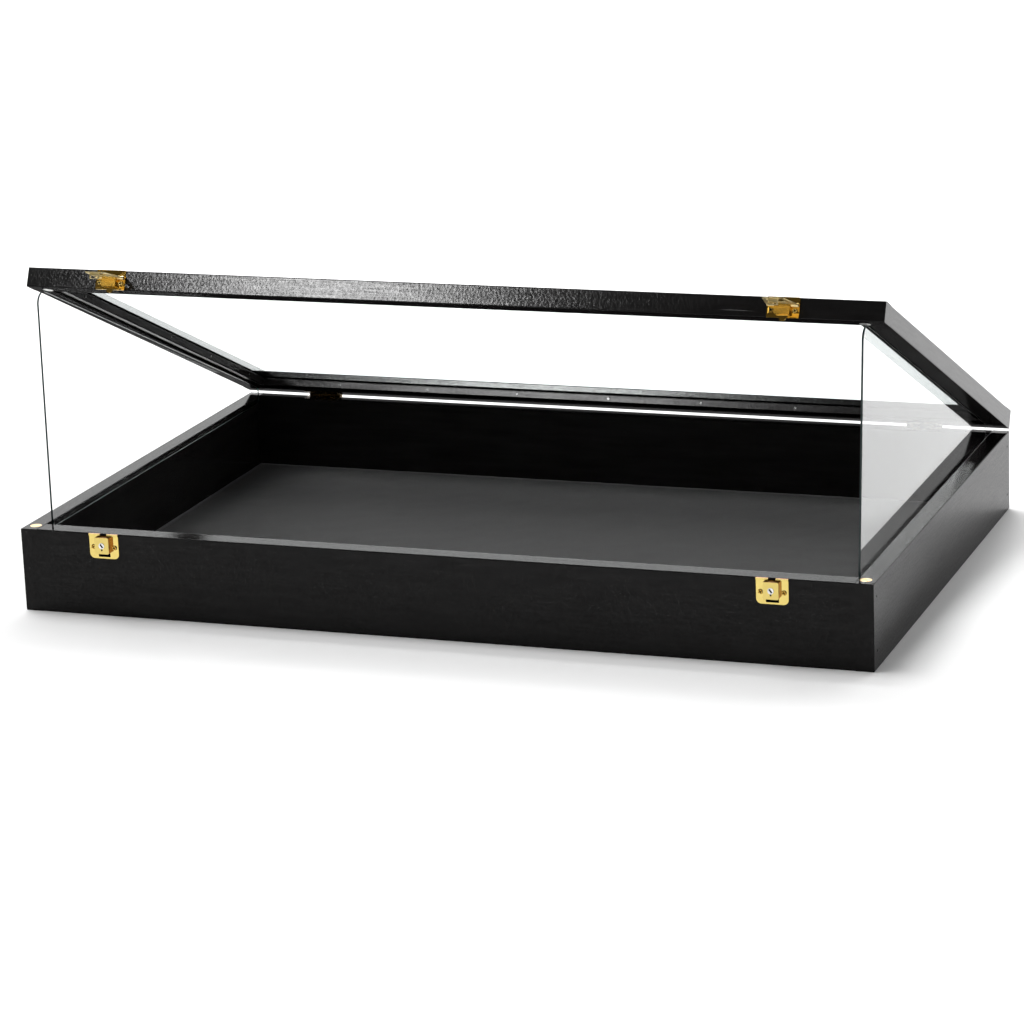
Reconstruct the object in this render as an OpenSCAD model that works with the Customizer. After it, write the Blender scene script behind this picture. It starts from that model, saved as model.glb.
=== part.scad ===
// Display case: a shallow black wooden tray with a framed glass lid hinged along its rear.
// The lid stands propped open on two loose glass side panes, over an open front.
// A key lock on the tray and a hasp on the lid sit near each front corner.
// X runs to the right, Y to the rear and Z up. The origin is the middle of the underside.

/* [Case] */
// Width over the side walls
case_w = 864; // [780:1:940]
// Depth from the front face to the rear face
case_d = 560; // [500:1:620]
// Height of the tray walls
base_h = 84; // [78:1:96]
// Thickness of the tray's front and rear rails, and width of the lid rails
board_t = 20; // [19:0.5:23]
// Thickness of the tray's side walls
wall_t = 18; // [17.5:0.5:20]
// Rounding of the long wooden edges
arris_r = 1; // [0.6:0.1:1.5]
// Thickness of the bottom panel
panel_t = 6; // [4:0.5:9]
// Depth of the rebate that takes the bottom panel
rebate_d = 8; // [5:0.5:10]
// Thickness of the felt liner
felt_t = 3; // [2:0.5:5]

/* [Lid] */
// Thickness of the lid rails
lid_t = 19.5; // [18:0.5:21]
// Angle at which the lid stands open
lid_angle = 24.3; // [21:0.1:27]
// Thickness of the lid glass
glass_t = 3.2; // [2.8:0.1:4]
// Height of the glass above the lid's underside
glass_h = 10; // [8:0.5:10.5]
// Width of the lip over the glass, and of the beads under it
lip_w = 9.5; // [7:0.5:12]
// Step from the lid's underside up to the beads
bead_step = 1.75; // [1:0.25:3]

/* [Side panes] */
// Thickness of the side panes
pane_t = 2; // [1.8:0.1:3]
// Distance of a pane's bottom front corner from the front face
pane_front = 28; // [26:0.5:36]
// Distance of a pane's rear edge from the rear face
pane_rear = 22.5; // [22:0.5:30]
// Lean of a pane's front edge towards the rear
pane_rake = 6; // [4:0.5:9]
// Outward lean of the left pane, which stands loose
left_lean = 2.7; // [2:0.1:4]
// Depth of the panes' foot below the rim
pane_seat = 5; // [4:0.5:8]
// Rounding of a pane's top front corner
pane_top_r = 12; // [8:0.5:14]
// Rounding of a pane's other corners
pane_r = 6; // [3:0.5:7]
// Height of the ledge that carries a pane
ledge_h = 8; // [6:0.5:12]

/* [Hinges] */
// Distance of a hinge's middle from the end of the case
hinge_inset = 92; // [70:1:120]
// Length of a hinge
hinge_l = 38; // [32:1:48]
// Depth of a hinge leaf on the wood
leaf_d = 16; // [14:0.5:17]
// Thickness of a hinge leaf
leaf_t = 1.4; // [1.2:0.1:1.6]
// Depth to which a hinge leaf is let into the wood
leaf_sink = 0.8; // [0.4:0.1:0.9]
// Distance of the hinge pin behind the rear face
hinge_back = 2; // [1.9:0.1:3]
// Radius of the hinge pin
hinge_pin_r = 1; // [0.8:0.1:1.1]

/* [Locks and latches] */
// Distance of a lock's middle from the end of the case
lock_inset = 93; // [70:0.5:120]
// Shift of the locks and the lid discs to the right of their even places
lock_shift = -2.5; // [-6:0.5:6]
// Width of the lock and latch plates
plate_w = 31; // [30:0.5:34]
// Thickness of the sheet brass
plate_t = 1; // [0.8:0.1:1.1]
// Height of a lock plate below the rim
lock_h = 25; // [24:0.5:28]
// Rounding of a lock plate's lower corners
lock_r = 5; // [3:0.5:6]
// Height of the raised band along a lock plate's top
band_h = 2; // [1.5:0.25:2.5]
// Width of the raised boxes on both plates
box_w = 15; // [13:0.5:16]
// Height of a lock's raised box
lock_box_h = 16.5; // [15:0.5:17]
// Distance of a lock's raised box below the rim
lock_box_drop = 2.5; // [2:0.25:3]
// Depth of a lock's raised box in front of its plate
lock_box_d = 5.5; // [5:0.25:6.5]
// Height of a latch's raised box
latch_box_h = 11.5; // [10.5:0.5:12]
// Depth of a latch's raised box in front of its plate
latch_box_d = 5; // [4.75:0.25:5.5]
// Height of a latch's raised box above the lid's underside
latch_box_lift = 2.5; // [2:0.25:3]
// Width of the tab under a latch plate
tab_w = 6.5; // [5:0.5:8]
// Length of the tab under a latch plate
tab_l = 3.1; // [2.5:0.1:3.3]
// Diameter of the lock barrel
barrel_d = 6; // [5:0.25:6.5]
// Throw of the pin that drives the bolt
bolt_throw = 2; // [1.8:0.05:2.1]
// Width of the slot that takes the hasp's staple
slot_w = 12.6; // [11.5:0.1:13]
// Height of the slot that takes the hasp's staple
slot_h = 4; // [3:0.1:4.2]
// Width of the hasp at its root
hasp_root_w = 30; // [28:0.5:32]
// Width of the hasp at its tip
hasp_tip_w = 20; // [19.5:0.25:22]
// Angle by which the left hasp is raised from hanging
hasp_left_angle = 86; // [70:1:100]
// Angle by which the right hasp is raised from hanging
hasp_right_angle = 88; // [70:1:100]
// Spacing of the two screws on each plate
screw_gap = 22.6; // [22:0.1:23.4]

/* [Small hardware] */
// Diameter of the discs in the rim
disc_d = 11.5; // [8:0.5:12]
// Diameter of the discs under the lid
lid_disc_d = 10.5; // [7:0.5:11]
// Thickness of the discs
disc_t = 3; // [2:0.5:4]
// Distance of a rim disc's middle from the end of the case
disc_side = 10.5; // [10:0.5:12]
// Distance of a rim disc's middle from the front face
disc_front = 12.5; // [10:0.5:20]
// Distance of a lid disc's middle from the end of the case
lid_disc_side = 19; // [15:0.5:22]
// Distance of a lid disc's middle from the lid's front face
lid_disc_front = 14; // [10:0.5:14]
// Diameter of the heads of the wood screws
screw_head_d = 5; // [4.5:0.1:5.2]
// Diameter of the shanks of the wood screws
screw_d = 2.6; // [2.2:0.1:2.8]
// Length of the wood screws
screw_l = 12; // [9:0.5:13]
// Diameter of the heads of the wall nails and of the pins in the beads and ledges
nail_head_d = 2.4; // [1.8:0.1:3]
// Diameter of the nails and pins
nail_d = 1.2; // [0.9:0.1:1.5]
// Length of the wall nails
nail_l = 45; // [35:1:55]
// Length of the pins in the beads and ledges
brad_l = 16; // [13:0.5:17]
// Spacing of the pins in the beads and ledges
brad_gap = 104; // [80:1:140]

/* [Hidden] */
$fn = 48;

// Colours of the finishes
black_paint = "#1d1c1c";
charcoal_felt = "#303030";
gold_brass = "#d9b84a";
cream_brass = "#e6d6a0";
nickel = "#c9c9c6";
green_glass = [0.55, 0.75, 0.72, 0.35];

// Small overshoot that keeps a cut clear of the face it opens
eps = 0.1;
// Gap that lets a flat piece drop into its rebate
drop_fit = 0.25;
// Gap round a screw, nail or disc in its hole
hole_fit = 0.03;
// Radial clearance of a turning pin
run_fit = 0.05;
// Gap between sheet metal pieces that pass each other
sheet_gap = 0.5;
// Gap between the two leaves of a closed hinge
leaf_play = 0.2;
// Gap between a pane's top edge and the lid, and the room for its foot
pane_gap = 0.6;
// Gap between a pane's outer face and the wall at its foot
pane_in = 1.8;
// Gap that the glass has between its bead and its lip
putty = 0.2;

// Half sizes of the case, of the tray inside its walls and of the lid inside its rails
half_w = case_w/2;
half_d = case_d/2;
tray_w = half_w - wall_t;
in_w = half_w - board_t;
in_d = half_d - board_t;

// Closed lid, hinge axis and opening of the glass
lid_gap = 2*(leaf_t - leaf_sink) + leaf_play;
lid_z = base_h + lid_gap;
axis_y = half_d + hinge_back;
axis_z = base_h + lid_gap/2;
sight_w = in_w - lip_w;
sight_d = in_d - lip_w;
lip_h = glass_h + glass_t + putty;

// Hinge knuckles
knuckles = 5;
corner_reach = norm([hinge_back, lid_gap/2]);
knuckle_r = corner_reach - 0.3;
knuckle_l = hinge_l/knuckles;
knuckle_gap = 0.2;
leaf_edge = axis_y - knuckle_r - 0.3;
hinge_screw_x = hinge_l/2 - 7;
hinge_screw_y = (half_d - leaf_d + leaf_edge)/2;
hinge_screw_l = screw_l - leaf_t;
leaf_foot = base_h - leaf_sink;
leaf_top = leaf_foot + leaf_t;
leaf_bed = hinge_l/2 + drop_fit;
hinge_x = half_w - hinge_inset;

// Lock plate and its works, measured from the rim and from the front face
lock_x = half_w - lock_inset;
lock_left = -lock_x + lock_shift;
lock_right = lock_x + lock_shift;
lock_foot_z = base_h - lock_h;
lock_box_top = base_h - lock_box_drop;
lock_box_foot = lock_box_top - lock_box_h;
lock_box_out = plate_t + lock_box_d;
lock_box_r = 1.5;
notch_w = 2*(tab_w/2 + 0.4);
notch_foot = base_h - band_h;
band_out = plate_t + 1;
lock_screw_z = lock_box_foot + 5.6;
slot_top = lock_box_foot - 0.3;
staple_z = slot_top - 1.35;
barrel_z = (lock_box_top + lock_box_foot)/2;
barrel_proud = 0.4;
collar_t = 1;
collar_r = barrel_d/2 + 0.9;
key_w = 1.6;
key_h = 0.72*barrel_d;
key_deep = 3;
key_tilt = 35;
tail_w = 1.6;
tail_l = 2;
drive_r = 0.8;
drive_turn = 45;
bolt_front = 0.4;
bolt_t = 1.2;
bolt_w = 10;
tongue_w = 5;
bolt_foot = slot_top + 0.2;
bolt_shoulder = bolt_foot + 2.4;
bolt_top = barrel_z + bolt_throw + 3.6;
drive_play = 0.15;
mortise_w = slot_w + 1.4;
mortise_foot = slot_top - slot_h - 1;
mortise_top = bolt_top + 1.2;
eye_edge = 0.6;
staple_deep = bolt_front + bolt_t + eye_edge + 0.8;
mortise_d = staple_deep + 0.5;

// Latch plate and hasp, measured from the lid's underside and its front face
latch_box_out = plate_t + latch_box_d;
latch_box_top = latch_box_lift + latch_box_h;
pivot_r = 0.9;
lug_r = 1.9;
pivot_h = latch_box_top - plate_t - pivot_r - 0.3;
pivot_p = plate_t + lug_r + 0.3;
latch_screw_h = 6.7;
pan_h = 1.2;
recess_l = 0.72*screw_head_d;
recess_w = 0.18*screw_head_d;
pan_recess = 0.8;
flat_recess = 0.5;
recess_turn = 25;
hasp_t = 1;
arm_in = box_w/2 + sheet_gap;
box_reach = norm([latch_box_out - pivot_p, pivot_h - latch_box_lift]);
cross_in = box_reach + 0.9;
pivot_z = lid_z + pivot_h;
window_in = pivot_z - lock_box_top - sheet_gap;
window_out = pivot_z - lock_box_foot + sheet_gap;
staple_at = pivot_z - staple_z;
staple_w = slot_w - 2.6;
eye_w = tongue_w + 2.4;
tip_out = staple_at + 1.8;
root_l = 4;
hasp_r = 2;

// Side panes
seat_z = base_h - pane_seat;
pane_x = tray_w - pane_in;
pivot_x = pane_x - pane_t;
ledge_top = seat_z - pane_t*sin(left_lean) - eps;
ledge_w = pane_t + pane_in;
top_fall = tan(lid_angle);
rake_in = tan(pane_rake);
pane_fy = -half_d + pane_front;
pane_ry = half_d - pane_rear;
lid_line = axis_z + axis_y*top_fall + (lid_gap/2 - pane_gap)/cos(lid_angle);
pane_tz = (lid_line - top_fall*pane_fy + top_fall*rake_in*seat_z)/(1 + top_fall*rake_in);
pane_ty = pane_fy + (pane_tz - seat_z)*rake_in;
pane_rz = lid_line - pane_ry*top_fall;

// Nails and pins
nail_heights = [18, 70];
ledge_pin_z = ledge_top - ledge_h/2;
brad_h = (bead_step + glass_h)/2;
head_t = 0.8;
ledge_sink = 0.3;

// Points of a round corner at b, between the sides that run to a and to c
function corner(a, b, c, r) =
    let(n = r > 3 ? 16 : 6)
    let(u = (a - b)/norm(a - b), w = (c - b)/norm(c - b))
    let(half = acos(u*w)/2, o = b + (u + w)/norm(u + w)*r/sin(half))
    let(p = b + u*r/tan(half) - o, q = b + w*r/tan(half) - o)
    let(start = atan2(p.y, p.x), sweep = (atan2(q.y, q.x) - start + 540)%360 - 180)
    [for (i = [0:n]) o + r*[cos(start + sweep*i/n), sin(start + sweep*i/n)]];

// Outline through the points, each rounded by its own radius
function rounded(pts, radii) =
    let(n = len(pts))
    [for (i = [0:n - 1])
        for (p = radii[i] > 0 ? corner(pts[(i + n - 1)%n], pts[i], pts[(i + 1)%n], radii[i]) : [pts[i]]) p];

// Board of the given outline in depth and height, along X between two ends
module along_x(x0, x1, pts, radii) {
    translate([x0, 0, 0]) rotate([90, 0, 90]) linear_extrude(x1 - x0) polygon(rounded(pts, radii));
}

// Board of the given outline in width and height, along Y between two ends
module along_y(y0, y1, pts, radii) {
    translate([0, y1, 0]) rotate([90, 0, 0]) linear_extrude(y1 - y0) polygon(rounded(pts, radii));
}

// Block between two corners
module block(low, high) {
    translate(low) cube(high - low);
}

// Turns what is drawn on the closed lid up to its open place
module lid_pose() {
    translate([0, axis_y, axis_z]) rotate([-lid_angle, 0, 0]) translate([0, -axis_y, -axis_z]) children();
}

// Front face of the tray: across, up, and out towards the viewer
module on_front(x) {
    translate([x, -half_d, 0]) rotate([90, 0, 0]) children();
}

// Front face of the closed lid: across, up from its underside, and out
module on_lid_front(x) {
    translate([x, -half_d, lid_z]) rotate([90, 0, 0]) children();
}

// Places a piece at each end of the case
module both_ends(x, shift = 0) {
    for (side = [-1, 1]) translate([side*x + shift, 0, 0]) children();
}

// Two screw places on a plate
module screw_pair() {
    for (side = [-1, 1]) translate([side*screw_gap/2, 0, 0]) children();
}

// Cross recess cut down from height 0
module cross_recess(deep) {
    for (turn = [0, 90]) rotate([0, 0, turn + recess_turn])
        block([-recess_l/2, -recess_w/2, -deep], [recess_l/2, recess_w/2, eps]);
}

// Pan head wood screw standing on a plate of thickness plate_t, with a cross recess
module pan_screw() {
    difference() {
        union() {
            translate([0, 0, plate_t]) cylinder(h = pan_h, d1 = screw_head_d, d2 = 0.82*screw_head_d);
            translate([0, 0, plate_t - screw_l]) cylinder(h = screw_l + eps, d = screw_d);
        }
        translate([0, 0, plate_t + pan_h]) cross_recess(pan_recess);
    }
}

// Countersunk screw with its head flush at height 0
module flat_screw() {
    difference() {
        union() {
            translate([0, 0, -leaf_t]) cylinder(h = leaf_t, d1 = screw_d, d2 = screw_head_d);
            translate([0, 0, -leaf_t - hinge_screw_l]) cylinder(h = hinge_screw_l, d = screw_d);
        }
        cross_recess(flat_recess);
    }
}

// Hole for a countersunk screw, through a leaf and into the wood
module flat_screw_hole() {
    shank = screw_d + 2*hole_fit;
    head = screw_head_d + 2*hole_fit;
    translate([0, 0, -leaf_t]) cylinder(h = leaf_t, d1 = shank, d2 = head);
    translate([0, 0, -leaf_t - hinge_screw_l]) cylinder(h = hinge_screw_l + eps, d = shank);
}

// Four screw places on the base leaves, heads upwards
module base_leaf_screws() {
    both_ends(hinge_x)
        for (side = [-1, 1]) translate([side*hinge_screw_x, hinge_screw_y, leaf_top]) children();
}

// Four screw places on the lid leaves, heads downwards
module lid_leaf_screws() {
    both_ends(hinge_x)
        for (side = [-1, 1])
            translate([side*hinge_screw_x, hinge_screw_y, 2*axis_z - leaf_top])
                mirror([0, 0, 1]) children();
}

// Beds let into the rear rail of the tray for the base leaves
module leaf_beds() {
    both_ends(hinge_x)
        block(
            [-leaf_bed, half_d - leaf_d - drop_fit, leaf_foot],
            [leaf_bed, half_d + eps, base_h + eps]);
}

// Pin with a flat head, driven along Z from 0 downwards
module driven_pin(l) {
    translate([0, 0, -l]) cylinder(h = l, d = nail_d);
    translate([0, 0, -head_t]) cylinder(h = head_t, d = nail_head_d);
}

// Right-hand side wall with its rebate and the seat of its disc
module side_wall() {
    r = arris_r;
    pts = [[tray_w, 0], [half_w, 0], [half_w, base_h], [tray_w, base_h]];
    difference() {
        along_y(-half_d, half_d, pts, [0, r, r, r]);
        block([tray_w - eps, -in_d - rebate_d, -eps], [tray_w + rebate_d, in_d + rebate_d, panel_t]);
        translate([half_w - disc_side, -half_d + disc_front, base_h - disc_t])
            cylinder(h = disc_t + eps, d = disc_d + 2*hole_fit);
    }
}
module base_right_wall() { color(black_paint) side_wall(); }
module base_left_wall() { color(black_paint) mirror([1, 0, 0]) side_wall(); }

// Plain rail of the tray at the front, with its rebate
module base_rail() {
    r = arris_r;
    pts = [[-half_d, 0], [-in_d, 0], [-in_d, base_h], [-half_d, base_h]];
    difference() {
        along_x(-tray_w, tray_w, pts, [r, 0, r, r]);
        block([-tray_w - eps, -in_d - rebate_d, -eps], [tray_w + eps, -in_d + eps, panel_t]);
    }
}
module base_front_rail() {
    color(black_paint)
    difference() {
        base_rail();
        for (x = [lock_left, lock_right]) on_front(x) {
            block([-mortise_w/2, mortise_foot, -mortise_d], [mortise_w/2, mortise_top, eps]);
            translate([0, lock_screw_z, plate_t - screw_l])
                screw_pair() cylinder(h = screw_l, d = screw_d + 2*hole_fit);
        }
    }
}
module base_rear_rail() {
    color(black_paint)
    difference() {
        mirror([0, 1, 0]) base_rail();
        leaf_beds();
        base_leaf_screws() flat_screw_hole();
    }
}

// Bottom panel, flush with the underside of the walls
module bottom_panel() {
    w = tray_w + rebate_d - drop_fit;
    d = in_d + rebate_d - drop_fit;
    color(black_paint) block([-w, -d, 0], [w, d, panel_t]);
}

// Felt laid on the bottom panel
module felt_liner() {
    w = tray_w - drop_fit;
    d = in_d - drop_fit;
    color(charcoal_felt) block([-w, -d, panel_t], [w, d, panel_t + felt_t]);
}

// Ledge on the inside of the right-hand wall
module pane_ledge() {
    d = in_d - drop_fit;
    block([tray_w - ledge_w, -d, ledge_top - ledge_h], [tray_w, d, ledge_top]);
}
module pane_ledge_right() { color(black_paint) pane_ledge(); }
module pane_ledge_left() { color(black_paint) mirror([1, 0, 0]) pane_ledge(); }

// Pins that hold the ledges to the walls
module ledge_pins() {
    n = floor(2*in_d/brad_gap/2);
    color(nickel)
    for (side = [0, 1]) mirror([side, 0, 0])
        for (i = [-n:n])
            translate([tray_w - ledge_w + ledge_sink, i*brad_gap, ledge_pin_z])
                rotate([0, -90, 0]) driven_pin(brad_l);
}

// Nails through the side walls into the ends of the front and rear rails
module wall_nails() {
    color(black_paint)
    for (side = [0, 1]) mirror([side, 0, 0])
        for (y = [-half_d + board_t/2, half_d - board_t/2])
            for (z = nail_heights)
                translate([half_w, y, z]) rotate([0, 90, 0]) driven_pin(nail_l);
}

// Flush discs in the front corners of the rim
module base_discs() {
    color(cream_brass)
    both_ends(half_w - disc_side)
        translate([0, -half_d + disc_front, base_h - disc_t]) cylinder(h = disc_t, d = disc_d);
}

// Hinge leaf under the axis, with every second knuckle starting from first
module hinge_leaf(first) {
    difference() {
        union() {
            block([-hinge_l/2, half_d - leaf_d, leaf_foot], [hinge_l/2, leaf_edge, leaf_top]);
            for (i = [first:2:knuckles - 1]) {
                x0 = -hinge_l/2 + i*knuckle_l + knuckle_gap/2;
                x1 = x0 + knuckle_l - knuckle_gap;
                block([x0, leaf_edge - eps, leaf_foot], [x1, axis_y, leaf_top]);
                translate([x0, axis_y, axis_z]) rotate([0, 90, 0]) cylinder(h = x1 - x0, r = knuckle_r);
            }
        }
        translate([-hinge_l/2 - eps, axis_y, axis_z])
            rotate([0, 90, 0]) cylinder(h = hinge_l + 2*eps, r = hinge_pin_r + run_fit);
        for (side = [-1, 1])
            translate([side*hinge_screw_x, hinge_screw_y, leaf_top]) flat_screw_hole();
    }
}
module base_leaf(x) { translate([x, 0, 0]) hinge_leaf(0); }
module lid_leaf(x) { lid_pose() translate([x, 0, 2*axis_z]) mirror([0, 0, 1]) hinge_leaf(1); }
module hinge_base_leaf_left() { color(gold_brass) base_leaf(-hinge_x); }
module hinge_base_leaf_right() { color(gold_brass) base_leaf(hinge_x); }
module hinge_lid_leaf_left() { color(gold_brass) lid_leaf(-hinge_x); }
module hinge_lid_leaf_right() { color(gold_brass) lid_leaf(hinge_x); }

// Hinge pins
module hinge_pin(x) {
    translate([x - hinge_l/2, axis_y, axis_z]) rotate([0, 90, 0]) cylinder(h = hinge_l, r = hinge_pin_r);
}
module hinge_pin_left() { color(gold_brass) hinge_pin(-hinge_x); }
module hinge_pin_right() { color(gold_brass) hinge_pin(hinge_x); }
module hinge_base_screws() { color(gold_brass) base_leaf_screws() flat_screw(); }
module hinge_lid_screws() { color(gold_brass) lid_pose() lid_leaf_screws() flat_screw(); }

// Lock plate: raised band along the rim, hollow raised box, barrel hole and staple slot
module lock_plate(x) {
    w = plate_w/2;
    b = box_w/2;
    tail = tail_w/2;
    tail_foot = barrel_z - barrel_d/2 - tail_l;
    hole_d = screw_d + 2*hole_fit;
    foot = lock_foot_z;
    plate = rounded([[-w, foot], [w, foot], [w, base_h], [-w, base_h]], [lock_r, lock_r, 0, 0]);
    box = rounded(
        [[-b, lock_box_foot], [b, lock_box_foot], [b, lock_box_top], [-b, lock_box_top]],
        [lock_box_r, lock_box_r, lock_box_r/2, lock_box_r/2]);
    on_front(x) difference() {
        union() {
            linear_extrude(plate_t) polygon(plate);
            linear_extrude(lock_box_out) polygon(box);
            block([-w, base_h - band_h, 0], [w, base_h, band_out]);
        }
        block(
            [-b + plate_t, lock_box_foot + plate_t, -eps],
            [b - plate_t, lock_box_top - plate_t, lock_box_d]);
        block([-slot_w/2, slot_top - slot_h, -eps], [slot_w/2, slot_top, plate_t + eps]);
        block([-notch_w/2, notch_foot, -eps], [notch_w/2, base_h + eps, band_out + eps]);
        translate([0, barrel_z, 0]) cylinder(h = lock_box_out + eps, r = barrel_d/2 + run_fit);
        block([-tail, tail_foot, lock_box_d - eps], [tail, barrel_z, lock_box_out + eps]);
        translate([0, lock_screw_z, -eps]) screw_pair() cylinder(h = plate_t + 2*eps, d = hole_d);
    }
}
module lock_plate_left() { color(gold_brass) lock_plate(lock_left); }
module lock_plate_right() { color(gold_brass) lock_plate(lock_right); }
module lock_screws() {
    color(gold_brass)
    for (x = [lock_left, lock_right])
        on_front(x) translate([0, lock_screw_z, 0]) screw_pair() pan_screw();
}

// Lock barrel: key slot in front, collar behind the box's face, driving pin at the rear
module lock_barrel(x) {
    front = lock_box_out + barrel_proud;
    rear = bolt_front/2;
    on_front(x) translate([0, barrel_z, 0]) difference() {
        union() {
            translate([0, 0, -rear]) cylinder(h = front + rear, d = barrel_d);
            translate([0, 0, lock_box_d - collar_t - sheet_gap/2]) cylinder(h = collar_t, r = collar_r);
            translate([bolt_throw*cos(drive_turn), bolt_throw*sin(drive_turn), -bolt_front - bolt_t])
                cylinder(h = bolt_t + bolt_front, r = drive_r);
        }
        rotate([0, 0, key_tilt])
            block([-key_w/2, -key_h/2, front - key_deep], [key_w/2, key_h/2, front + eps]);
    }
}
module lock_barrel_left() { color(nickel) lock_barrel(lock_left); }
module lock_barrel_right() { color(nickel) lock_barrel(lock_right); }

// Lock bolt: slides down behind the plate and through the hasp's staple
module lock_bolt(x) {
    drive_h = barrel_z + bolt_throw*sin(drive_turn);
    drive_half = drive_r + drive_play;
    on_front(x) translate([0, 0, -bolt_front - bolt_t]) difference() {
        union() {
            block([-bolt_w/2, bolt_shoulder, 0], [bolt_w/2, bolt_top, bolt_t]);
            block([-tongue_w/2, bolt_foot, 0], [tongue_w/2, bolt_shoulder + eps, bolt_t]);
        }
        block(
            [bolt_throw*cos(drive_turn) - drive_r - drive_play, drive_h - drive_half, -eps],
            [bolt_throw + drive_r + drive_play, drive_h + drive_half, bolt_t + eps]);
    }
}
module lock_bolt_left() { color(nickel) lock_bolt(lock_left); }
module lock_bolt_right() { color(nickel) lock_bolt(lock_right); }

// Rail across the lid at the front, with the lip that covers the glass
module lid_cross_rail() {
    r = arris_r;
    top = lid_z + lid_t;
    pts = [[-half_d, lid_z], [-in_d, lid_z], [-in_d, top], [-half_d, top]];
    lip = [[-in_d - eps, lid_z + lip_h], [-sight_d, lid_z + lip_h], [-sight_d, top], [-in_d - eps, top]];
    along_x(-half_w, half_w, pts, [r, r, 0, r]);
    along_x(-in_w, in_w, lip, [0, 0, r, 0]);
}
module lid_front_rail() {
    color(black_paint) lid_pose()
    difference() {
        lid_cross_rail();
        both_ends(half_w - lid_disc_side, lock_shift)
            translate([0, -half_d + lid_disc_front, lid_z - eps])
                cylinder(h = disc_t + eps, d = lid_disc_d + 2*hole_fit);
        for (x = [lock_left, lock_right]) on_lid_front(x)
            translate([0, latch_screw_h, plate_t - screw_l])
                screw_pair() cylinder(h = screw_l, d = screw_d + 2*hole_fit);
    }
}
module lid_rear_rail() {
    color(black_paint) lid_pose()
    difference() {
        mirror([0, 1, 0]) lid_cross_rail();
        translate([0, 0, 2*axis_z]) mirror([0, 0, 1]) leaf_beds();
        lid_leaf_screws() flat_screw_hole();
    }
}

// Side rail of the lid between the cross rails, on the right
module lid_side_rail() {
    r = arris_r;
    top = lid_z + lid_t;
    pts = [[in_w, lid_z], [half_w, lid_z], [half_w, top], [in_w, top]];
    lip = [[sight_w, lid_z + lip_h], [in_w + eps, lid_z + lip_h], [in_w + eps, top], [sight_w, top]];
    along_y(-in_d, in_d, pts, [r, r, r, 0]);
    along_y(-sight_d, sight_d, lip, [0, 0, 0, r]);
}
module lid_right_rail() { color(black_paint) lid_pose() lid_side_rail(); }
module lid_left_rail() { color(black_paint) lid_pose() mirror([1, 0, 0]) lid_side_rail(); }

// Glass of the lid
module lid_glass() {
    w = in_w - sheet_gap;
    d = in_d - sheet_gap;
    color(green_glass) lid_pose()
        block([-w, -d, lid_z + glass_h], [w, d, lid_z + glass_h + glass_t]);
}

// Beads that hold the glass up from below
module cross_bead() {
    pts = [[-in_d, lid_z + bead_step], [-sight_d, lid_z + bead_step],
        [-sight_d, lid_z + glass_h], [-in_d, lid_z + glass_h]];
    along_x(-in_w, in_w, pts, [0, arris_r, arris_r, 0]);
}
module side_bead() {
    pts = [[sight_w, lid_z + bead_step], [in_w, lid_z + bead_step],
        [in_w, lid_z + glass_h], [sight_w, lid_z + glass_h]];
    along_y(-sight_d, sight_d, pts, [arris_r, 0, 0, arris_r]);
}
module bead_front() { color(black_paint) lid_pose() cross_bead(); }
module bead_rear() { color(black_paint) lid_pose() mirror([0, 1, 0]) cross_bead(); }
module bead_right() { color(black_paint) lid_pose() side_bead(); }
module bead_left() { color(black_paint) lid_pose() mirror([1, 0, 0]) side_bead(); }

// Brads through the beads into the rails
module bead_brads() {
    nx = floor(sight_w/brad_gap);
    ny = floor(sight_d/brad_gap);
    color(nickel) lid_pose() {
        for (side = [0, 1]) mirror([0, side, 0])
            for (i = [-nx:nx])
                translate([i*brad_gap, sight_d, lid_z + brad_h]) rotate([90, 0, 0]) driven_pin(brad_l);
        for (side = [0, 1]) mirror([side, 0, 0])
            for (i = [-ny:ny])
                translate([sight_w, i*brad_gap, lid_z + brad_h]) rotate([0, -90, 0]) driven_pin(brad_l);
    }
}

// Flush discs under the front corners of the lid
module lid_discs() {
    color(nickel) lid_pose()
    both_ends(half_w - lid_disc_side, lock_shift)
        translate([0, -half_d + lid_disc_front, lid_z]) cylinder(h = disc_t, d = lid_disc_d);
}

// Latch plate: hollow raised box that carries the hasp's pin, and a tab below
module latch_plate(x) {
    w = plate_w/2;
    b = box_w/2;
    t = tab_w/2;
    tab_r = tab_l - eps;
    hole_d = screw_d + 2*hole_fit;
    bore_r = pivot_r + run_fit;
    plate = rounded([[-w, 0], [w, 0], [w, lid_t], [-w, lid_t]], [arris_r, arris_r, arris_r, arris_r]);
    box = rounded(
        [[-b, latch_box_lift], [b, latch_box_lift], [b, latch_box_top], [-b, latch_box_top]],
        [arris_r, arris_r, arris_r, arris_r]);
    tab = rounded([[-t, -tab_l], [t, -tab_l], [t, plate_t], [-t, plate_t]], [tab_r, tab_r, 0, 0]);
    lid_pose() on_lid_front(x) difference() {
        union() {
            linear_extrude(plate_t) polygon(plate);
            linear_extrude(latch_box_out) polygon(box);
            linear_extrude(plate_t) polygon(tab);
        }
        block(
            [-b + plate_t, latch_box_lift + plate_t, -eps],
            [b - plate_t, latch_box_top - plate_t, latch_box_d]);
        translate([-b - eps, pivot_h, pivot_p]) rotate([0, 90, 0]) cylinder(h = box_w + 2*eps, r = bore_r);
        translate([0, latch_screw_h, -eps]) screw_pair() cylinder(h = plate_t + 2*eps, d = hole_d);
    }
}
module latch_plate_left() { color(gold_brass) latch_plate(lock_left); }
module latch_plate_right() { color(gold_brass) latch_plate(lock_right); }
module latch_screws() {
    color(gold_brass) lid_pose()
    for (x = [lock_left, lock_right])
        on_lid_front(x) translate([0, latch_screw_h, 0]) screw_pair() pan_screw();
}

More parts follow.
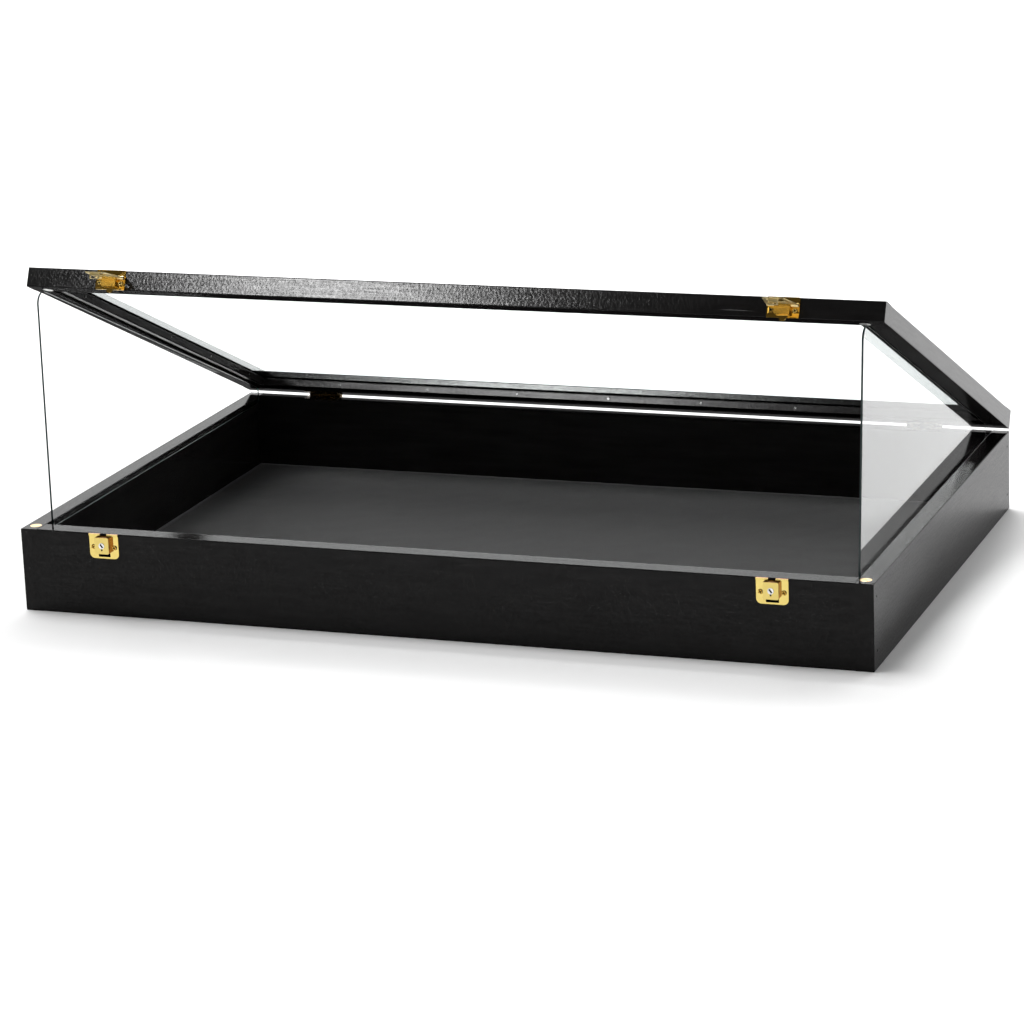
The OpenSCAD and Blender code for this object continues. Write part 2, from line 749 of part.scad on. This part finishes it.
// Pin on which the hasp turns
module hasp_pin(x) {
    lid_pose() on_lid_front(x)
        translate([-hasp_root_w/2, pivot_h, pivot_p])
            rotate([0, 90, 0]) cylinder(h = hasp_root_w, r = pivot_r);
}
module hasp_pin_left() { color(gold_brass) hasp_pin(lock_left); }
module hasp_pin_right() { color(gold_brass) hasp_pin(lock_right); }

// Hasp drawn hanging from its pin: two arms, a window for the lock's box and a staple
module hasp_flap() {
    root = hasp_root_w/2;
    tip = hasp_tip_w/2;
    bore_r = pivot_r + run_fit;
    eye_foot = -pivot_p - bolt_front - bolt_t - eye_edge;
    flap = rounded(
        [[-tip, -tip_out], [tip, -tip_out], [root, -root_l], [root, 0], [-root, 0], [-root, -root_l]],
        [hasp_r, hasp_r, hasp_r, 0, 0, hasp_r]);
    difference() {
        union() {
            translate([0, 0, -hasp_t/2]) linear_extrude(hasp_t) polygon(flap);
            translate([-root, 0, 0]) rotate([0, 90, 0]) cylinder(h = hasp_root_w, r = lug_r);
            block(
                [-staple_w/2, -staple_at - plate_t/2, -pivot_p - staple_deep],
                [staple_w/2, -staple_at + plate_t/2, 0]);
        }
        block([-arm_in, -cross_in, -lug_r - eps], [arm_in, lug_r + eps, lug_r + eps]);
        block([-arm_in, -window_out, -hasp_t], [arm_in, -window_in, hasp_t]);
        translate([-root - eps, 0, 0]) rotate([0, 90, 0]) cylinder(h = hasp_root_w + 2*eps, r = bore_r);
        block(
            [-eye_w/2, -staple_at - plate_t, eye_foot],
            [eye_w/2, -staple_at + plate_t, -pivot_p - bolt_front + eye_edge]);
    }
}
module hasp(x, raised) {
    lid_pose() on_lid_front(x)
        translate([0, pivot_h, pivot_p]) rotate([-raised, 0, 0]) hasp_flap();
}
module hasp_left() { color(gold_brass) hasp(lock_left, hasp_left_angle); }
module hasp_right() { color(gold_brass) hasp(lock_right, hasp_right_angle); }

// Side pane drawn upright on the right, then leaned outwards about its inner foot
module side_pane(lean) {
    pts = [[pane_fy, seat_z], [pane_ry, seat_z], [pane_ry, pane_rz], [pane_ty, pane_tz]];
    translate([pivot_x, 0, seat_z]) rotate([0, lean, 0]) translate([-pivot_x, 0, -seat_z])
        along_x(pivot_x, pane_x, pts, [pane_r, pane_r, pane_r, pane_top_r]);
}
module side_pane_right() { color(green_glass) side_pane(0); }
module side_pane_left() { color(green_glass) mirror([1, 0, 0]) side_pane(left_lean); }

base_left_wall();
base_right_wall();
base_front_rail();
base_rear_rail();
bottom_panel();
felt_liner();
pane_ledge_left();
pane_ledge_right();
ledge_pins();
wall_nails();
base_discs();
hinge_base_leaf_left();
hinge_base_leaf_right();
hinge_pin_left();
hinge_pin_right();
hinge_base_screws();
lock_plate_left();
lock_plate_right();
lock_screws();
lock_barrel_left();
lock_barrel_right();
lock_bolt_left();
lock_bolt_right();
lid_front_rail();
lid_rear_rail();
lid_left_rail();
lid_right_rail();
lid_glass();
bead_front();
bead_rear();
bead_left();
bead_right();
bead_brads();
lid_discs();
hinge_lid_leaf_left();
hinge_lid_leaf_right();
hinge_lid_screws();
latch_plate_left();
latch_plate_right();
latch_screws();
hasp_pin_left();
hasp_pin_right();
hasp_left();
hasp_right();
side_pane_left();
side_pane_right();
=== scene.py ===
import math

import bmesh
import bpy
from mathutils import Matrix, Vector, noise


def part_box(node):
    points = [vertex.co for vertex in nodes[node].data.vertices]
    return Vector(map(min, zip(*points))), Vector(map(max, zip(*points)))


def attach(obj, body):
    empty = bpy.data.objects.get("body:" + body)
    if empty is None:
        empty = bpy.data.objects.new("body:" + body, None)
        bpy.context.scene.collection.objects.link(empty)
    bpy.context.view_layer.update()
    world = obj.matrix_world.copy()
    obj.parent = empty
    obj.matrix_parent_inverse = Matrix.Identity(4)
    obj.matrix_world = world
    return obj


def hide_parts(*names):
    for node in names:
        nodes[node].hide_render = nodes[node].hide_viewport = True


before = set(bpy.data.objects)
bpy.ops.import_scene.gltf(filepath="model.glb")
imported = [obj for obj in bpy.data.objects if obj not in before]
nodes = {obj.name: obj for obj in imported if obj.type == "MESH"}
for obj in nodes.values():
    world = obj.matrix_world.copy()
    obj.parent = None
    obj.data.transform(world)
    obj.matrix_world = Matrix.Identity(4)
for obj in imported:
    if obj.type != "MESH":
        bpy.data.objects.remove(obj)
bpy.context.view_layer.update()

MM = 0.001

# Camera, solved from the edges of the tray and the lid: angles in degrees, places in metres
VIEW_AZIMUTH = 20.4806
VIEW_ELEVATION = 15.7706
VIEW_ROLL = -2.2852
VIEW_TARGET = Vector((-0.078278, 0.156805, 0.0))
VIEW_DISTANCE = 3.97823
VIEW_REACH = 200.0
FOCAL_PIXELS = 3736.77
IMAGE_PIXELS = 1024
SENSOR_MM = 36.0

# Lean of the propped lid, and the ways out of the two faces that carry the brass fittings
LID_ANGLE = math.radians(24.3)
LID_TURN = (-LID_ANGLE, 0, 0)
LID_FRONT = Vector((0, -math.cos(LID_ANGLE), math.sin(LID_ANGLE)))
TRAY_FRONT = Vector((0, -1, 0))


def foremost(name, way):
    """How far a node reaches along a way."""
    return max(way.dot(v.co) for v in nodes[name].data.vertices)


LID_PLANE = foremost("lid_front_rail", LID_FRONT)
TRAY_PLANE = foremost("base_front_rail", TRAY_FRONT)

# Sockets of the mix node when it mixes colours, which share their names with its other sockets
MIX_SHARE = 0
MIX_FIRST = 6
MIX_SECOND = 7
MIX_COLOUR = 2


def linear(code):
    """Linear colour of an sRGB hex value."""
    parts = [int(code[i:i + 2], 16) / 255 for i in (1, 3, 5)]
    return [*(c / 12.92 if c <= 0.04045 else ((c + 0.055) / 1.055) ** 2.4 for c in parts), 1.0]


def add(tree, kind, links=(), stops=(), **settings):
    """One shader node.

    Settings are its properties or the values of its sockets. A link is a socket with what goes into it:
    a value, another node's output, or a node for its first output. Stops are a ramp's places and hex values.
    """
    made = tree.nodes.new(kind)
    for key, value in settings.items():
        if hasattr(made, key):
            setattr(made, key, value)
        else:
            made.inputs[key.replace("_", " ")].default_value = value
    for socket, source in links:
        if isinstance(source, bpy.types.Node):
            source = source.outputs[0]
        if isinstance(source, bpy.types.NodeSocket):
            tree.links.new(made.inputs[socket], source)
        else:
            made.inputs[socket].default_value = source
    for i, (place, code) in enumerate(stops):
        made.color_ramp.elements[i].position = place
        made.color_ramp.elements[i].color = linear(code)
    return made


def new_material(name):
    """Material with an empty node tree."""
    material = bpy.data.materials.new(name)
    material.use_nodes = True
    material.node_tree.nodes.clear()
    return material, material.node_tree


# Black satin paint on planed boards: near-black, finely speckled where it mirrors the light.
# Brush and grain leave fine ridges along the board. Tops are dulled by dust, and undersides are flat.
GRAIN_LENGTH_MM = 45
GRAIN_WIDTH_MM = 0.9
PEEL_MM = 2.4
SMUDGE_LENGTH_MM = 70
SMUDGE_WIDTH_MM = 9
RIDGE_MM = 0.12
FRONT_GLOSS = 0.5
PAINT_INDEX = 1.22
# Share of a face's normal at which it begins to count as looking that way, and at which it does in full
LOOKS_FROM = 0.5
LOOKS_FULL = 0.8


def black_satin_wood(name, grain_axis, turn=(0, 0, 0), top_gloss=0.14, side_gloss=0.5, under_gloss=0.002):
    material, tree = new_material(name)
    where = add(tree, "ShaderNodeTexCoord").outputs
    patterns = []
    for length, width, detail in (
            (SMUDGE_LENGTH_MM, SMUDGE_WIDTH_MM, 6.0),
            (GRAIN_LENGTH_MM, GRAIN_WIDTH_MM, 4.0),
            (PEEL_MM, PEEL_MM, 2.0)):
        size = [width * MM] * 3
        size[grain_axis] = length * MM
        sized = add(
            tree, "ShaderNodeMapping", [("Vector", where["Object"])],
            vector_type="TEXTURE", Rotation=turn, Scale=size)
        patterns.append(add(tree, "ShaderNodeTexNoise", [("Vector", sized)], Scale=1.0, Detail=detail))
    smudge, grain, peel = patterns

    ridges = add(tree, "ShaderNodeBump", [("Height", grain)], Strength=0.2, Distance=RIDGE_MM * MM)
    skin = add(
        tree, "ShaderNodeBump", [("Height", peel), ("Normal", ridges)], Strength=0.4, Distance=RIDGE_MM * MM)
    looks = add(tree, "ShaderNodeSeparateXYZ", [("Vector", where["Normal"])]).outputs
    sideways = add(tree, "ShaderNodeMath", [(0, looks["X"])], operation="ABSOLUTE")
    upright = add(
        tree, "ShaderNodeMapRange", [("Value", sideways)],
        From_Min=LOOKS_FROM, From_Max=LOOKS_FULL, To_Min=FRONT_GLOSS, To_Max=side_gloss)
    dusty = add(
        tree, "ShaderNodeMapRange", [("Value", looks["Z"]), ("To Min", upright)],
        From_Min=LOOKS_FROM, From_Max=LOOKS_FULL, To_Max=top_gloss)
    gloss = add(
        tree, "ShaderNodeMapRange", [("Value", looks["Z"]), ("To Max", dusty)],
        From_Min=-LOOKS_FULL, From_Max=-LOOKS_FROM, To_Min=under_gloss)
    for pattern, low, high in ((grain, 0.4, 1.6), (peel, 0.3, 1.7)):
        speckle = add(tree, "ShaderNodeMapRange", [("Value", pattern)], To_Min=low, To_Max=high)
        gloss = add(tree, "ShaderNodeMath", [(0, gloss), (1, speckle)], operation="MULTIPLY")
    colour = add(tree, "ShaderNodeValToRGB", [("Fac", smudge)], stops=[(0.3, "#100f0f"), (0.7, "#191818")])
    rough = add(tree, "ShaderNodeMapRange", [("Value", smudge)], To_Min=0.07, To_Max=0.11)
    paint = add(
        tree, "ShaderNodeBsdfPrincipled",
        [("Base Color", colour), ("Roughness", rough), ("Specular IOR Level", gloss), ("Normal", skin)],
        IOR=PAINT_INDEX)
    add(tree, "ShaderNodeOutputMaterial", [("Surface", paint)])
    return material


# Side rails of the lid: the same paint, with a pale metal strip on the lip's inner edge as painted
# reflection.
# It stands in for the bright band of reflected light seen along the lip, and mirrors the room. The lip's edge
# is the inmost face across X.
LIP_EDGE = -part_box("lid_left_rail")[1][0]
REFLECTION_STRIP_IN_MM = 2
REFLECTION_STRIP_OUT_MM = 3


def reflection_strip_wood(name, grain_axis, turn):
    material = black_satin_wood(name, grain_axis, turn)
    tree = material.node_tree
    paint = tree.nodes["Principled BSDF"]
    where = add(tree, "ShaderNodeTexCoord").outputs
    sides = []
    for coordinates in ("Normal", "Object"):
        parts = add(tree, "ShaderNodeSeparateXYZ", [("Vector", where[coordinates])]).outputs
        sides.append(add(tree, "ShaderNodeMath", [(0, parts["X"])], operation="ABSOLUTE"))
    across = add(tree, "ShaderNodeMapRange", [("Value", sides[0])], From_Min=0.9, From_Max=0.95)
    inmost = add(
        tree, "ShaderNodeMapRange", [("Value", sides[1])],
        From_Min=LIP_EDGE + REFLECTION_STRIP_IN_MM * MM, From_Max=LIP_EDGE + REFLECTION_STRIP_OUT_MM * MM, To_Min=1.0, To_Max=0.0)
    # Painted reflection: the inmost edge faces of the lip become a pale metal strip
    painted_reflection = add(tree, "ShaderNodeMath", [(0, across), (1, inmost)], operation="MULTIPLY").outputs["Value"]
    painted = paint.inputs["Base Color"].links[0].from_socket
    colour = add(
        tree, "ShaderNodeMix", [(MIX_SHARE, painted_reflection), (MIX_FIRST, painted), (MIX_SECOND, linear("#b0b0b0"))],
        data_type="RGBA")
    tree.links.new(paint.inputs["Base Color"], colour.outputs[MIX_COLOUR])
    tree.links.new(paint.inputs["Metallic"], painted_reflection)
    return material


# Sheet and turned metal: a mirror broken by hairline scratches, drawn coarser than they are so that they show
HAIRLINE_LENGTH_MM = 9
HAIRLINE_WIDTH_MM = 0.25
HAIRLINE_DEPTH_MM = 0.05


def scratched_metal(name):
    material, tree = new_material(name)
    place = add(tree, "ShaderNodeTexCoord").outputs["Object"]
    fine = add(
        tree, "ShaderNodeMapping", [("Vector", place)], vector_type="TEXTURE",
        Scale=[HAIRLINE_LENGTH_MM * MM, HAIRLINE_WIDTH_MM * MM, HAIRLINE_WIDTH_MM * MM])
    hairline = add(tree, "ShaderNodeTexNoise", [("Vector", fine)], Scale=1.0, Detail=2.0)
    scratch = add(
        tree, "ShaderNodeBump", [("Height", hairline)], Strength=0.12, Distance=HAIRLINE_DEPTH_MM * MM)
    metal = add(tree, "ShaderNodeBsdfPrincipled", [("Normal", scratch)], Metallic=1.0)
    add(tree, "ShaderNodeOutputMaterial", [("Surface", metal)])
    return material, tree, metal


# Polished metal: handling leaves a faint haze, duller and darker in spots
HAZE_MM = 6


def polished_metal(name, low, high, rough_low, rough_high):
    material, tree, metal = scratched_metal(name)
    place = add(tree, "ShaderNodeTexCoord").outputs["Object"]
    hazy = add(
        tree, "ShaderNodeMapping", [("Vector", place)], vector_type="TEXTURE", Scale=[HAZE_MM * MM] * 3)
    haze = add(tree, "ShaderNodeTexNoise", [("Vector", hazy)], Scale=1.0, Detail=4.0)
    colour = add(tree, "ShaderNodeValToRGB", [("Fac", haze)], stops=[(0.35, low), (0.65, high)])
    rough = add(tree, "ShaderNodeMapRange", [("Value", haze)], To_Min=rough_low, To_Max=rough_high)
    tree.links.new(metal.inputs["Base Color"], colour.outputs["Color"])
    tree.links.new(metal.inputs["Roughness"], rough.outputs["Result"])
    return material


# Brass fittings: the flat plate is a mirror, what stands out from it is brushed. Faces that turn away from
# the front get another tone, which is painted light for how light falls on edges and sides.
# front is the way out of the face that carries them, plane the distance of that face along it.
PLATE_MM = 1.3
RAISED_MM = 2.2
PLATE_ROUGHNESS = 0.05


def brass_fitting(name, front, plane, edge, face, brushed):
    material, tree, metal = scratched_metal(name)
    where = add(tree, "ShaderNodeTexCoord").outputs
    height = add(tree, "ShaderNodeVectorMath", [(0, where["Object"]), (1, front)], operation="DOT_PRODUCT")
    facing = add(tree, "ShaderNodeVectorMath", [(0, where["Normal"]), (1, front)], operation="DOT_PRODUCT")
    raised = add(
        tree, "ShaderNodeMapRange", [("Value", height.outputs["Value"])],
        From_Min=plane + PLATE_MM * MM, From_Max=plane + RAISED_MM * MM,
        To_Min=PLATE_ROUGHNESS, To_Max=brushed)
    # Colour by the way each face looks: edge and side faces get their own tone, painted shade on the locks
    # and painted highlight on the latches
    colour = add(
        tree, "ShaderNodeValToRGB", [("Fac", facing.outputs["Value"])], stops=[(0.7, edge), (0.97, face)])
    tree.links.new(metal.inputs["Roughness"], raised.outputs["Result"])
    tree.links.new(metal.inputs["Base Color"], colour.outputs["Color"])
    return material


# Turned pieces with a slot: bright on the outermost face, painted near-black in the slot and round the rim as
# painted shade
SLOT_SHADE_MM = 0.3
SLOT_LIT_MM = 0.21


def slotted_metal(name, front, node_name, low, high):
    material = polished_metal(name, low, high, 0.15, 0.3)
    tree = material.node_tree
    metal = tree.nodes["Principled BSDF"]
    place = add(tree, "ShaderNodeTexCoord").outputs["Object"]
    height = add(tree, "ShaderNodeVectorMath", [(0, place), (1, front)], operation="DOT_PRODUCT")
    plane = foremost(node_name, front)
    unshaded = add(
        tree, "ShaderNodeMapRange", [("Value", height.outputs["Value"])],
        From_Min=plane - SLOT_SHADE_MM * MM, From_Max=plane - SLOT_LIT_MM * MM)
    bright = metal.inputs["Base Color"].links[0].from_socket
    # Painted shade: what lies below the outermost face, in the slot and round the rim, is painted near-black
    colour = add(
        tree, "ShaderNodeMix", [(MIX_SHARE, unshaded), (MIX_FIRST, linear("#0c0804")), (MIX_SECOND, bright)],
        data_type="RGBA")
    tree.links.new(metal.inputs["Base Color"], colour.outputs[MIX_COLOUR])
    return material


# Float glass: clear through its faces, teal along the long way to its edges
GLASS_DENSITY = 6.0


def float_glass(name, index):
    material, tree = new_material(name)
    clear = add(
        tree, "ShaderNodeBsdfPrincipled",
        Base_Color=linear("#ffffff"), Roughness=0.0, IOR=index, Transmission_Weight=1.0)
    tint = add(tree, "ShaderNodeVolumeAbsorption", Color=(0.2, 0.8, 0.7, 1.0), Density=GLASS_DENSITY)
    add(tree, "ShaderNodeOutputMaterial", [("Surface", clear), ("Volume", tint)])
    return material


# Side pane: its ground edges are satin and dark teal, its faces clear.
# The faces look along X, so the object's own normal tells them from the edges.
def edged_glass(name, index):
    material = float_glass(name, index)
    tree = material.node_tree
    clear = tree.nodes["Principled BSDF"]
    normal = add(tree, "ShaderNodeTexCoord").outputs["Normal"]
    parts = add(tree, "ShaderNodeSeparateXYZ", [("Vector", normal)]).outputs
    sideways = add(tree, "ShaderNodeMath", [(0, parts["X"])], operation="ABSOLUTE")
    face = add(tree, "ShaderNodeMath", [(0, sideways), (1, LOOKS_FROM)], operation="GREATER_THAN")
    colour = add(tree, "ShaderNodeValToRGB", [("Fac", face)], stops=[(0.0, "#0c2423"), (1.0, "#ffffff")])
    through = add(tree, "ShaderNodeMapRange", [("Value", face)], To_Min=0.4, To_Max=1.0)
    ground = add(tree, "ShaderNodeMapRange", [("Value", face)], To_Min=0.3, To_Max=0.0)
    tree.links.new(clear.inputs["Base Color"], colour.outputs["Color"])
    tree.links.new(clear.inputs["Transmission Weight"], through.outputs["Result"])
    tree.links.new(clear.inputs["Roughness"], ground.outputs["Result"])
    return material


# Wool felt: charcoal, matt, with a short tangled nap that goes pale at low angles.
# The nap is drawn coarser than it is, so that it shows.
NAP_MM = 2.0
NAP_HEIGHT_MM = 0.5


def wool_felt(name):
    material, tree = new_material(name)
    place = add(tree, "ShaderNodeTexCoord").outputs["Object"]
    tight = add(
        tree, "ShaderNodeMapping", [("Vector", place)], vector_type="TEXTURE", Scale=[NAP_MM * MM] * 3)
    nap = add(tree, "ShaderNodeTexNoise", [("Vector", tight)], Scale=1.0, Detail=6.0, Roughness=0.7)
    tufts = add(tree, "ShaderNodeBump", [("Height", nap)], Strength=0.6, Distance=NAP_HEIGHT_MM * MM)
    colour = add(tree, "ShaderNodeValToRGB", [("Fac", nap)], stops=[(0.35, "#040404"), (0.65, "#1c1c1c")])
    cloth = add(
        tree, "ShaderNodeBsdfPrincipled", [("Base Color", colour), ("Normal", tufts)],
        Roughness=0.95, Sheen_Weight=0.15, Sheen_Roughness=0.5, Specular_IOR_Level=0.1)
    add(tree, "ShaderNodeOutputMaterial", [("Surface", cloth)])
    return material


# Studio paper: white and matt, with no pattern to be seen
def studio_paper(name):
    material, tree = new_material(name)
    paper = add(
        tree, "ShaderNodeBsdfPrincipled",
        Base_Color=linear("#f7f7f7"), Roughness=0.9, Specular_IOR_Level=0.1)
    add(tree, "ShaderNodeOutputMaterial", [("Surface", paper)])
    return material


# Each finish with the nodes that have it. A grain along X is 0, along Y is 1.
charcoal_felt = wool_felt("wool_felt")
FINISHES = [
    # Boards of the tray: a satin front, a rear rim that stays dark under the lid, side walls handled dull
    (black_satin_wood("black_satin_wood_across", 0), ["base_front_rail", "bottom_panel"]),
    (black_satin_wood("black_satin_wood_hidden_top", 0, top_gloss=0.005), ["base_rear_rail"]),
    (black_satin_wood("black_satin_wood_deep", 1, side_gloss=0.23),
     ["base_left_wall", "base_right_wall", "pane_ledge_left", "pane_ledge_right", "wall_nails"]),
    # Rails and beads of the lid: the grain follows its lean, and the side beads are duller
    (black_satin_wood("black_satin_wood_lid_across", 0, LID_TURN),
     ["lid_front_rail", "lid_rear_rail", "bead_front", "bead_rear"]),
    # Side rails: the pale metal strip on the lip is painted reflection
    (reflection_strip_wood("black_satin_wood_reflection_strip_lip", 1, LID_TURN), ["lid_left_rail", "lid_right_rail"]),
    (black_satin_wood("black_satin_wood_bead", 1, LID_TURN, side_gloss=0.06, under_gloss=0.08),
     ["bead_left", "bead_right"]),
    # Hinges of brass painted dark brown as painted shade, for the shadow they sit in under the lid; a little
    # dull
    (polished_metal("shade_dark_hinge_brass", "#4c3a18", "#6e5626", 0.2, 0.34),
     ["hinge_base_leaf_left", "hinge_base_leaf_right", "hinge_lid_leaf_left", "hinge_lid_leaf_right",
      "hinge_pin_left", "hinge_pin_right", "hinge_base_screws", "hinge_lid_screws"]),
    # Pins of the hasps: bright polished brass
    (polished_metal("polished_brass", "#dbc46c", "#efdc90", 0.12, 0.24),
     ["hasp_pin_left", "hasp_pin_right"]),
    # Locks: pale gold plates whose edges and sides are painted deep gold as painted shade, screws with slots
    # and silver barrels with key slots, both painted dark in the slot as painted shade
    (brass_fitting("lock_brass", TRAY_FRONT, TRAY_PLANE, "#9a6418", "#e2cb78", 0.3),
     ["lock_plate_left", "lock_plate_right"]),
    (slotted_metal("lock_screw_brass", TRAY_FRONT, "lock_screws", "#c2933c", "#e2b95c"),
     ["lock_screws"]),
    (slotted_metal("key_nickel", TRAY_FRONT, "lock_barrel_left", "#cfcecb", "#efeeec"),
     ["lock_barrel_left", "lock_barrel_right"]),
    (polished_metal("nickel_plate", "#b9b8b4", "#dad9d6", 0.12, 0.22),
     ["lock_bolt_left", "lock_bolt_right"]),
    # Latches: deep gold plates whose edges are painted light as painted highlight, paler screws, and hasps of
    # satin brass painted pale as painted highlight
    (brass_fitting("latch_brass", LID_FRONT, LID_PLANE, "#f0c860", "#d8ab4a", 0.25),
     ["latch_plate_left", "latch_plate_right"]),
    (slotted_metal("latch_screw_brass", LID_FRONT, "latch_screws", "#d8b45a", "#f2da92"),
     ["latch_screws"]),
    # Painted highlight: the hasps' brass is made paler than the rest to stand for the bright reflection on
    # their tops
    (polished_metal("painted_pale_hasp_brass", "#e9d08a", "#fbeec4", 0.4, 0.5), ["hasp_left", "hasp_right"]),
    # Discs in the rim are pale brass, those under the lid matt zinc, and brads and pins bright steel wire
    (polished_metal("pale_brass", "#b8924e", "#d2b486", 0.2, 0.34), ["base_discs"]),
    (polished_metal("matt_zinc", "#e4e4e2", "#f6f6f4", 0.45, 0.6), ["lid_discs"]),
    (polished_metal("bright_steel_wire", "#a9a9a9", "#d0d0d0", 0.2, 0.35), ["bead_brads", "ledge_pins"]),
    # Glass: the lid and the left pane hardly mirror, the right pane mirrors the bright floor
    (float_glass("clear_lid_glass", 1.03), ["lid_glass"]),
    (edged_glass("left_pane_glass", 1.12), ["side_pane_left"]),
    (edged_glass("right_pane_glass", 1.5), ["side_pane_right"]),
    (charcoal_felt, ["felt_liner"]),
]
for finish, names in FINISHES:
    for name in names:
        slots = nodes[name].data.materials
        slots.clear()
        slots.append(finish)

# Sheet metal has soft edges that catch the light
EDGE_SOFTNESS = 0.45 * MM
EDGE_SEGMENTS = 2
EDGE_ANGLE = math.radians(35)
WELD_GAP = 0.001 * MM
SHEET_METAL = [
    "lock_plate_left", "lock_plate_right", "latch_plate_left", "latch_plate_right",
    "hasp_left", "hasp_right"]
for name in SHEET_METAL:
    weld = nodes[name].modifiers.new("joined_faces", "WELD")
    weld.merge_threshold = WELD_GAP
    soft = nodes[name].modifiers.new("soft_edges", "BEVEL")
    soft.width = EDGE_SOFTNESS
    soft.segments = EDGE_SEGMENTS
    soft.limit_method = "ANGLE"
    soft.angle_limit = EDGE_ANGLE


# Felt liner: one sheet laid on the bottom panel, with a softly uneven top
FELT_THICK = 2.2 * MM
FELT_CELL = 6 * MM
FELT_LUMP = 0.25 * MM
FELT_LUMP_WIDTH = 20 * MM


def felt_sheet():
    low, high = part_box("felt_liner")
    mesh = bmesh.new()
    width, depth = high.x - low.x, high.y - low.y
    bmesh.ops.create_grid(
        mesh, x_segments=round(width / FELT_CELL), y_segments=round(depth / FELT_CELL), size=0.5,
        matrix=Matrix.Translation((0, 0, low.z)) @ Matrix.Diagonal((width, depth, 1, 1)))
    top = bmesh.ops.extrude_face_region(mesh, geom=mesh.faces[:])["geom"]
    raised = [v for v in top if isinstance(v, bmesh.types.BMVert)]
    bmesh.ops.translate(mesh, verts=raised, vec=(0, 0, FELT_THICK))
    for v in raised:
        v.co.z += FELT_LUMP * noise.noise(v.co / FELT_LUMP_WIDTH)
    bmesh.ops.recalc_face_normals(mesh, faces=mesh.faces[:])
    data = bpy.data.meshes.new("felt_sheet")
    mesh.to_mesh(data)
    mesh.free()
    data.materials.append(charcoal_felt)
    sheet = bpy.data.objects.new("felt_sheet", data)
    bpy.context.scene.collection.objects.link(sheet)
    data.shade_smooth()
    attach(sheet, "base")
    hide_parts("felt_liner")


felt_sheet()


# Studio: pale floor, dim room, bright panel behind, and soft light from the upper left.
# One lamp reaches only the floor behind the case and keeps it white. The sheens are small lamps at the
# front left: way to each, strength, whether it throws shadows, and the only nodes it lights.
FLOOR_HALF = 60.0
ROOM_STRENGTH = 0.08
OVERHEAD_SPREAD = math.radians(40)
SHEEN_SPREAD = math.radians(4)
SHEEN_DISTANCE = 3.0
FRONT_SHEEN_WAY = Vector((-0.3848, -0.7532, 0.5335))
REAR_SHEEN_WAY = Vector((-0.3315, -0.7833, 0.526))
SHEENS = [
    ("front_sheen", FRONT_SHEEN_WAY, 0.28, True, ["lid_front_rail"]),
    ("rear_sheen", REAR_SHEEN_WAY, 0.42, True, ["lid_rear_rail", "bead_rear", "bead_brads"]),
    ("latch_sheen", FRONT_SHEEN_WAY, 0.033, False,
     ["latch_plate_left", "latch_plate_right", "latch_screws", "hasp_left", "hasp_right"]),
]


def lamp(name, kind, place, aim, power, **settings):
    data = bpy.data.lights.new(name, kind)
    data.energy = power
    for key, value in settings.items():
        setattr(data, key, value)
    holder = bpy.data.objects.new(name, data)
    holder.location = place
    holder.rotation_euler = (Vector(aim) - Vector(place)).to_track_quat("-Z", "Y").to_euler()
    bpy.context.scene.collection.objects.link(holder)
    return holder


def only_on(light, lit):
    """Light linking: the lamp reaches these objects alone."""
    light.light_linking.receiver_collection = bpy.data.collections.new(light.name)
    for each in lit:
        light.light_linking.receiver_collection.objects.link(each)


def studio():
    mesh = bmesh.new()
    bmesh.ops.create_grid(mesh, x_segments=1, y_segments=1, size=FLOOR_HALF)
    data = bpy.data.meshes.new("floor")
    mesh.to_mesh(data)
    mesh.free()
    data.materials.append(studio_paper("studio_paper"))
    floor = bpy.data.objects.new("floor", data)
    bpy.context.scene.collection.objects.link(floor)

    world = bpy.data.worlds.new("studio_room")
    world.use_nodes = True
    world.node_tree.nodes["Background"].inputs["Color"].default_value = linear("#ffffff")
    world.node_tree.nodes["Background"].inputs["Strength"].default_value = ROOM_STRENGTH
    bpy.context.scene.world = world

    lamp(
        "rear_panel", "AREA", place=(-0.6, 4.6, 2.2), aim=(-0.6, 0, 2.2), power=390,
        shape="RECTANGLE", size=11.5, size_y=4.4)
    lamp("overhead_light", "SUN", place=(-1.2, 0.3, 3), aim=(0, 0, 0), power=2.7, angle=OVERHEAD_SPREAD)
    back_floor = lamp(
        "back_floor_light", "AREA", place=(-0.2, 1.3, 1.4), aim=(-0.2, 1.3, 0), power=22,
        shape="RECTANGLE", size=2.4, size_y=1.6)
    only_on(back_floor, [floor])
    for name, way, power, shades, lit in SHEENS:
        sheen = lamp(
            name, "SUN", place=SHEEN_DISTANCE * way, aim=(0, 0, 0), power=power,
            angle=SHEEN_SPREAD, use_shadow=shades)
        only_on(sheen, [nodes[n] for n in lit])
    for name in ("lid_glass", "side_pane_left", "side_pane_right"):
        nodes[name].visible_shadow = False


studio()


# Camera at the photograph's angle
def photo_camera():
    azimuth, elevation, roll = (math.radians(x) for x in (VIEW_AZIMUTH, VIEW_ELEVATION, VIEW_ROLL))
    level = Vector((math.sin(azimuth), -math.cos(azimuth), 0))
    back = level * math.cos(elevation) + Vector((0, 0, math.sin(elevation)))
    right = Vector((math.cos(azimuth), math.sin(azimuth), 0))
    up = back.cross(right)
    across = right * math.cos(roll) + up * math.sin(roll)
    upright = up * math.cos(roll) - right * math.sin(roll)
    data = bpy.data.cameras.new("photo_camera")
    data.sensor_width = SENSOR_MM
    data.lens = FOCAL_PIXELS / IMAGE_PIXELS * SENSOR_MM
    data.clip_end = VIEW_REACH
    camera = bpy.data.objects.new("photo_camera", data)
    turn = Matrix((across, upright, back)).transposed().to_4x4()
    camera.matrix_world = Matrix.Translation(VIEW_TARGET + back * VIEW_DISTANCE) @ turn
    bpy.context.scene.collection.objects.link(camera)
    bpy.context.scene.camera = camera


photo_camera()
bpy.context.scene.view_settings.view_transform = "Standard"
